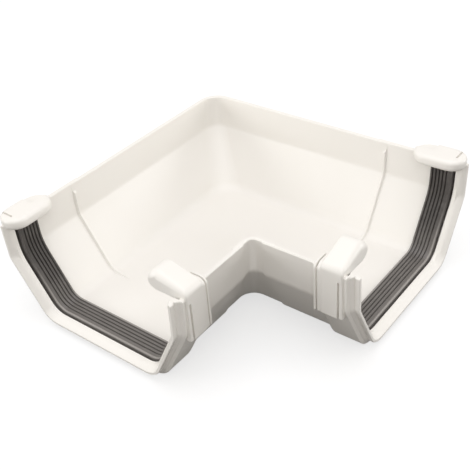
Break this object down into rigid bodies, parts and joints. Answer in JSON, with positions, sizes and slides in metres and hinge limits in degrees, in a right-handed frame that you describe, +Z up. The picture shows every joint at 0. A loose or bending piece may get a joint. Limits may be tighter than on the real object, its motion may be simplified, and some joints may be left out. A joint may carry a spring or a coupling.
{
  "type": "gutter angle",
  "caption": "Right-angle bend for square-line roof guttering, open on top, with a sealed socket and retaining clips on each arm.",
  "frame": {"origin": "where the arms' centre lines cross, on the trough's flat underside", "axes": "+Z up, one arm along +X and the other along -Y"},
  "size_m": [0.1878, 0.1878, 0.0686],
  "materials": {
    "white_upvc": "semi-gloss",
    "grey_rubber": "matt"
  },
  "bodies": {
    "root": {"angle_body": "white_upvc", "seal_x": "grey_rubber", "seal_y": "grey_rubber"}
  },
  "joints": []
}
